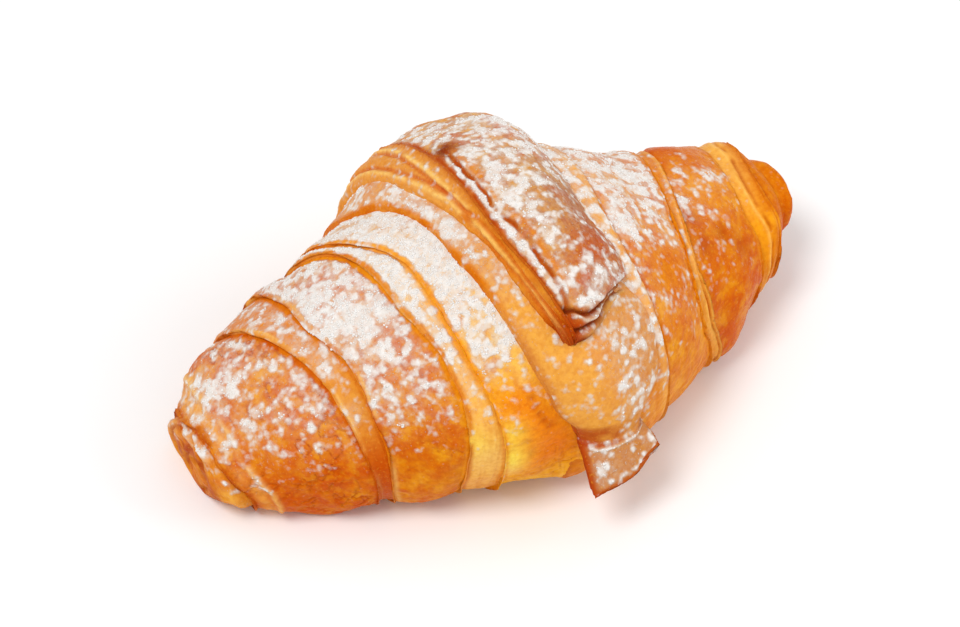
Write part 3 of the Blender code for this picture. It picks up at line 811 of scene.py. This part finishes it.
def make_flap(rows, columns, **look):
    form, along, step, loop = sheet_form(rows, columns)
    left_side, ridge_at, top_end, right_side = 0.03, 0.3, 0.82, 0.87
    edge = np.clip((loop - left_side) / (ridge_at - left_side), 0, 1)
    flat = np.clip((loop - ridge_at) / (top_end - ridge_at), 0, 1)
    back = np.clip((loop - right_side) / (1 - right_side), 0, 1)
    under = np.interp(loop, (0, left_side, top_end, right_side, 1), (1, 0, 0, 1, 1))
    reach = FLAP_ANGLES[0] + (FLAP_ANGLES[-1] - FLAP_ANGLES[0]) * step
    borders = (FLAP_FOOT, FLAP_RIDGE, FLAP_RIGHT)
    foot, ridge, right = (smooth_curve(FLAP_ANGLES, border, reach) for border in borders)
    share = np.where(loop < ridge_at, foot + (ridge - foot) * edge, ridge + (right - ridge) * flat)
    share = np.where(loop > right_side, right + (foot - right) * back, share)
    lift = np.where(loop < ridge_at, smooth_curve(*FLAP_EDGE, edge), smooth_curve(*FLAP_TOP, flat))
    grown = ramp(reach, FLAP_ANGLES[0], FLAP_ANGLES[2])
    rounded = np.sqrt(1 - 0.75 * np.clip((step - 0.955) / 0.045, 0, 1) ** 2)
    lift = lift * MM * grown * rounded
    end = smooth_curve(*FLAP_END, share)
    here = reach + ramp(reach, 0, FLAP_ANGLES[-1]) * (end - FLAP_ANGLES[-1])
    points = on_roll(share, here, lift + (-SHEET_ROOT - lift) * under)
    close_ends(points, along, rows)
    shown = 1 - ramp(under, 0.6, 1)
    from_ridge = np.abs(share - ridge) * HALF
    from_foot = (share - foot) * HALF
    face = np.where(loop < ridge_at, 1, ramp(ridge_at + 0.02 - loop, 0, 0.02))
    cut = face * (0.3 + 0.45 * ramp(reach, 22, 48))
    on_top = ramp(loop, ridge_at, ridge_at + 0.01)
    broken = ramp(noise(points, 4 * MM, 2), 0.25, 0.5)
    half_broken = 0.6 + 0.4 * broken
    jagged = 1.2 * MM * (noise(points, 3 * MM) - 0.5)
    past_crack = (share - smooth_curve(*FLAP_CRACK, here)) * HALF + jagged
    cracked = on_top * ramp(here, -24, -14) * ramp(here, 52, 44)
    beyond = cracked * ramp(past_crack, -0.4 * MM, 0.8 * MM) * np.exp(-np.maximum(past_crack, 0) / (6 * MM))
    from_end = (end - here) * FLAP_DEGREE + (1 - step) * 8 * MM * ramp(here, 20, 0)
    wave = from_end + 1.6 * MM * (noise(points + 0.4, 4 * MM, 2) - 0.5)
    astray = 1.2 * MM * (noise(points + 0.6, 9 * MM, 2) - 0.5)
    whole = 1 - ramp(reach, 22, 48)
    pale = face * broken * (1 - 0.7 * ramp(reach, 2, 26))
    strip = (1 - face) * bell(from_ridge - 2.4 * MM, 1.5 * MM) * ramp(here, -20, -10) * ramp(here, 45, 35)
    marks = [
        (face, 0, "amber", 0, 0.04),
        (face * ramp(reach, 12, -12), 0, "cream", 0.45, 0.18),
        (face * whole, 0, "honey", 0.55, None),
        (face * whole, 0, "amber", 0.45, None),
        (face * ramp(reach, 24, 46), 0, "orange", 0.6, None),
        (pale * bell(from_ridge - 2.1 * MM + astray, 0.5 * MM), 0.3, "cream", 0.75, None),
        (face * bell(from_ridge - 3.0 * MM + astray, 0.4 * MM), -0.45, "deep", 0.6, None),
        (pale * bell(from_foot - 1.1 * MM + astray, 0.4 * MM), 0.3, "cream", 0.65, None),
        (face * bell(from_ridge, 0.7 * MM), 0, "burnt", 0.7, 0),
        (face * bell(from_foot - 1.9 * MM + astray, 0.35 * MM), -0.4, "deep", 0.6, None),
        (strip, 0, "honey", 0.3, 0.84),
        (beyond, 0.5, "tan", 0.2, None),
        (cracked * broken * bell(past_crack - 1.6 * MM, 1.0 * MM), 0, "amber", 0.7, 0.25),
        (cracked * bell(past_crack, 0.5 * MM) * (0.4 + 0.6 * broken), -0.6, "burnt", 0.85, 0),
        (on_top * bell(from_ridge - 0.5 * MM, 0.7 * MM) * half_broken, -0.3, "burnt", 0.9, 0),
        (ramp(from_end, 11 * MM, 5 * MM) * ramp(share, 0.05, -0.02), 0, "burnt", 0.75, 0),
        (ramp(from_end, 8 * MM, 2 * MM) * on_top * ramp(share, 0.06, 0), 0, "burnt", 0.7, 0.1),
        (ramp(from_end, 8 * MM, 4 * MM) * on_top * ramp(share, -0.01, 0.05), 0, "burnt", 0.45, 0.5),
        (bell(from_end, 1.1 * MM) * on_top * ramp(share, 0.16, 0.08), 0, "chestnut", 0.9, 0),
        (ramp(from_end, 4 * MM, 2 * MM) * ramp(share, 0.08, 0.15), 0, "straw", 0.6, 0.62),
    ]
    for places in FOLDS:
        apart = wave - np.interp(share, FOLD_PLACES, places) * MM
        ledge = on_top * bell(apart + 1.7 * MM, 0.7 * MM) * ramp(share, -0.02, 0.03)
        marks.append((on_top * bell(apart, 0.75 * MM), -1.3, "chestnut", 1, 0))
        marks.append((ledge, 0.3, "cream", 0.3, 0.74))
    leaf = edge * (2.0 + 2.4 * ramp(reach, -30, 25))
    bake("flap", form, points, here, from_ridge, from_end, look, shown, cut, leaf, marks)


make_flap(
    400, 220,
    colours="amber tan tan orange", sugar=(0.46, 0.68, 0.5, 0.3), seed=0.83, layers=0.2, creases=0.9,
    mottle=1.2, gloss=0.3, leaves=0.35,
    # The umber spots are painted shade on the flap's right slope and in the sugar near its end.
    spots=(
        (-0.062, -21, 7, 3.4, 0.5, "chestnut", 1, 0), (0.132, 29, 6, 4.4, 0.2, "orange", 0.9, 0),
        (0.19, 41, 4, 2.2, -0.3, "chestnut", 0.7, 0.1), (0.19, 12, 4, 11, 0, "umber", 0.75, 0.4),
        (0.13, 31, 5, 8, 0, "burnt", 0.6, 0.24), (-0.035, 51, 5, 4, 0, "chestnut", 0.5, 0),
        (0.215, 24, 3, 6, 0, "burnt", 0.6, 0.3), (0.118, 37.5, 6.5, 3.2, 0.3, "umber", 0.3, 0.8),
        (0.07, 41, 6, 2, 0.2, "umber", 0.3, 0.7),
    ),
)

# The sugar: icing sugar, shaken over the croissant from above. Most of it lies on the crust as dust, and in the
# thick places it sticks together in small soft lumps, which are these.
LUMP_DOUBLINGS = 13
LUMP_RADIUS = (0.13 * MM, 0.32 * MM)
THICK_SUGAR = 0.55
OPEN_ABOVE = 12 * MM
SPARE_PLACES = 4  # tried for each lump, since some lie under an edge


def sugar_places(count):
    """Places on the crust with their normals, where there is most sugar and nothing lies over them."""
    chance = np.random.default_rng(23)
    bpy.context.view_layer.update()
    graph = bpy.context.evaluated_depsgraph_get()
    trees = [BVHTree.FromObject(piece, graph) for piece, _ in sugared]
    corners, ups, weights = [], [], []
    for piece, sugar in sugared:
        faces = triangles_of(piece.data)
        points = np.empty(len(piece.data.vertices) * 3, np.float32)
        piece.data.vertices.foreach_get("co", points)
        thick = sugar[faces].mean(1)
        faces, thick = faces[thick > THICK_SUGAR], thick[thick > THICK_SUGAR]
        a, b, c = points.reshape(-1, 3)[faces].transpose(1, 0, 2).astype(float)
        normal = np.cross(b - a, c - a)
        size = np.linalg.norm(normal, axis=1) + 1e-15
        corners.append(np.stack([a, b, c], 1))
        ups.append(normal / size[:, None])
        weights.append(size * (thick - 0.5) ** 1.5)
    corners, ups, weights = np.concatenate(corners), np.concatenate(ups), np.concatenate(weights)
    picked = chance.choice(len(weights), count * SPARE_PLACES, p=weights / weights.sum())
    share = chance.random((count * SPARE_PLACES, 2))
    share = np.where(share.sum(1)[:, None] > 1, 1 - share, share)
    share = np.column_stack([1 - share.sum(1), share])
    places = (corners[picked] * share[:, :, None]).sum(1)
    ups = ups[picked]
    kept = []
    for index, (place, up) in enumerate(zip(places, ups)):
        start, way = Vector(place + up * 0.15 * MM), Vector(up + np.array([0, 0, 0.6]))
        if not any(tree.ray_cast(start, way, OPEN_ABOVE)[0] for tree in trees):
            kept.append(index)
        if len(kept) == count:
            break
    return places[kept], ups[kept]


def make_sugar():
    form = bmesh.new()
    bmesh.ops.create_icosphere(form, subdivisions=1, radius=1)
    each = len(form.verts)
    for _ in range(LUMP_DOUBLINGS):
        bmesh.ops.duplicate(form, geom=form.verts[:] + form.edges[:] + form.faces[:])
    count = len(form.verts) // each
    places, ups = sugar_places(count)
    chance = np.random.default_rng(31)
    shape = coordinates(form).reshape(count, each, 3)
    shape = shape * (0.75 + 0.5 * chance.random((count, each, 1)))
    radius = LUMP_RADIUS[0] + (LUMP_RADIUS[1] - LUMP_RADIUS[0]) * chance.random(count) ** 2
    side = np.cross(ups, chance.normal(size=(count, 3)))
    side /= np.linalg.norm(side, axis=1)[:, None]
    other = np.cross(ups, side)
    stretch = np.stack([0.8 + 0.6 * chance.random(count), np.ones(count), np.full(count, 0.6)], -1)
    shape = shape * (radius[:, None] * stretch)[:, None, :]
    turned = shape[:, :, :1] * side[:, None] + shape[:, :, 1:2] * other[:, None]
    turned = turned + shape[:, :, 2:] * ups[:, None]
    points = (turned + (places + ups * 0.1 * radius[:, None])[:, None]).reshape(-1, 3)
    points[:, 2] = np.clip(points[:, 2], 0, cad_box[1][2])
    mesh = bpy.data.meshes.new("sugar")
    form.to_mesh(mesh)
    form.free()
    mesh.vertices.foreach_set("co", points.ravel())
    mesh.shade_smooth()
    mesh.materials.append(sugar_material())
    mesh.update()
    piece = placed("sugar", mesh)
    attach(piece, "root")


def sugar_material():
    """White sugar, with a little of the warm crust in its colour here and there."""
    material = bpy.data.materials.new("sugar")
    material.use_nodes = True
    nodes, links = material.node_tree.nodes, material.node_tree.links
    shader = nodes["Principled BSDF"]
    place = nodes.new("ShaderNodeTexCoord")
    patches = nodes.new("ShaderNodeTexNoise")
    patches.inputs["Scale"].default_value = 600
    patches.inputs["Detail"].default_value = 3
    links.new(place.outputs["Object"], patches.inputs["Vector"])
    tones = nodes.new("ShaderNodeValToRGB")
    stops = ((0.35, (0.78, 0.74, 0.70, 1)), (0.6, (0.84, 0.82, 0.80, 1)))
    for element, (position, tone) in zip(tones.color_ramp.elements, stops):
        element.position, element.color = position, tone
    links.new(patches.outputs["Fac"], tones.inputs["Fac"])
    links.new(tones.outputs["Color"], shader.inputs["Base Color"])
    shader.inputs["Roughness"].default_value = 0.95
    shader.inputs["Specular IOR Level"].default_value = 0.2
    return material


make_sugar()

# The floor: a plain pale table top that the croissant stands on, which is no part of it. It is one flat face,
# wide enough to fill the view from each side.
FLOOR_REACH = 3.0
floor_form = bmesh.new()
bmesh.ops.create_grid(floor_form, x_segments=1, y_segments=1, size=FLOOR_REACH)
floor_mesh = bpy.data.meshes.new("floor")
floor_form.to_mesh(floor_mesh)
floor_form.free()
floor = placed("floor", floor_mesh)
floor_material = bpy.data.materials.new("floor")
floor_material.use_nodes = True
floor_shader = floor_material.node_tree.nodes["Principled BSDF"]
floor_shader.inputs["Base Color"].default_value = (0.93, 0.93, 0.93, 1)
floor_shader.inputs["Roughness"].default_value = 0.9
floor_mesh.materials.append(floor_material)

# The light: a large soft lamp at the upper left, a weaker one at the right, and a bright white room all round,
# which together give the flat light of the photograph.
def soft_lamp(name, place, size, power):
    light = bpy.data.lights.new(name, "AREA")
    light.shape = "DISK"
    light.size = size
    light.energy = power
    lamp = placed(name, light)
    lamp.location = place
    lamp.rotation_mode = "QUATERNION"
    lamp.rotation_quaternion = Vector(place).to_track_quat("Z", "Y")


soft_lamp("key", (-0.5, -0.15, 1.05), 0.5, 6.6)
soft_lamp("fill", (0.85, -0.45, 0.6), 0.8, 3.6)
world = bpy.data.worlds.new("room")
world.use_nodes = True
room = world.node_tree.nodes["Background"]
room.inputs["Color"].default_value = (1, 1, 1, 1)
room.inputs["Strength"].default_value = 0.64
bpy.context.scene.world = world
bpy.context.scene.view_settings.view_transform = "Standard"

# The camera, at the photograph's viewing angle: it looks down at the middle of the croissant from the near
# side, and from a little to the left.
CAMERA_AZIMUTH = math.radians(-29.27)
CAMERA_ELEVATION = math.radians(48)
CAMERA_DISTANCE = 0.6171
AIM_HEIGHT = 0.0285
camera_data = bpy.data.cameras.new("camera")
camera_data.lens = 103.8
camera_data.shift_x = -0.0214
camera_data.shift_y = -0.0148
camera_data.clip_start = 0.01
camera = placed("camera", camera_data)
level = math.cos(CAMERA_ELEVATION)
back = (math.sin(CAMERA_AZIMUTH) * level, -math.cos(CAMERA_AZIMUTH) * level, math.sin(CAMERA_ELEVATION))
back = Vector(back)
camera.location = Vector(ROLL_MIDDLE) + Vector((0, 0, AIM_HEIGHT)) + back * CAMERA_DISTANCE
camera.rotation_mode = "QUATERNION"
camera.rotation_quaternion = back.to_track_quat("Z", "Y")
bpy.context.scene.camera = camera
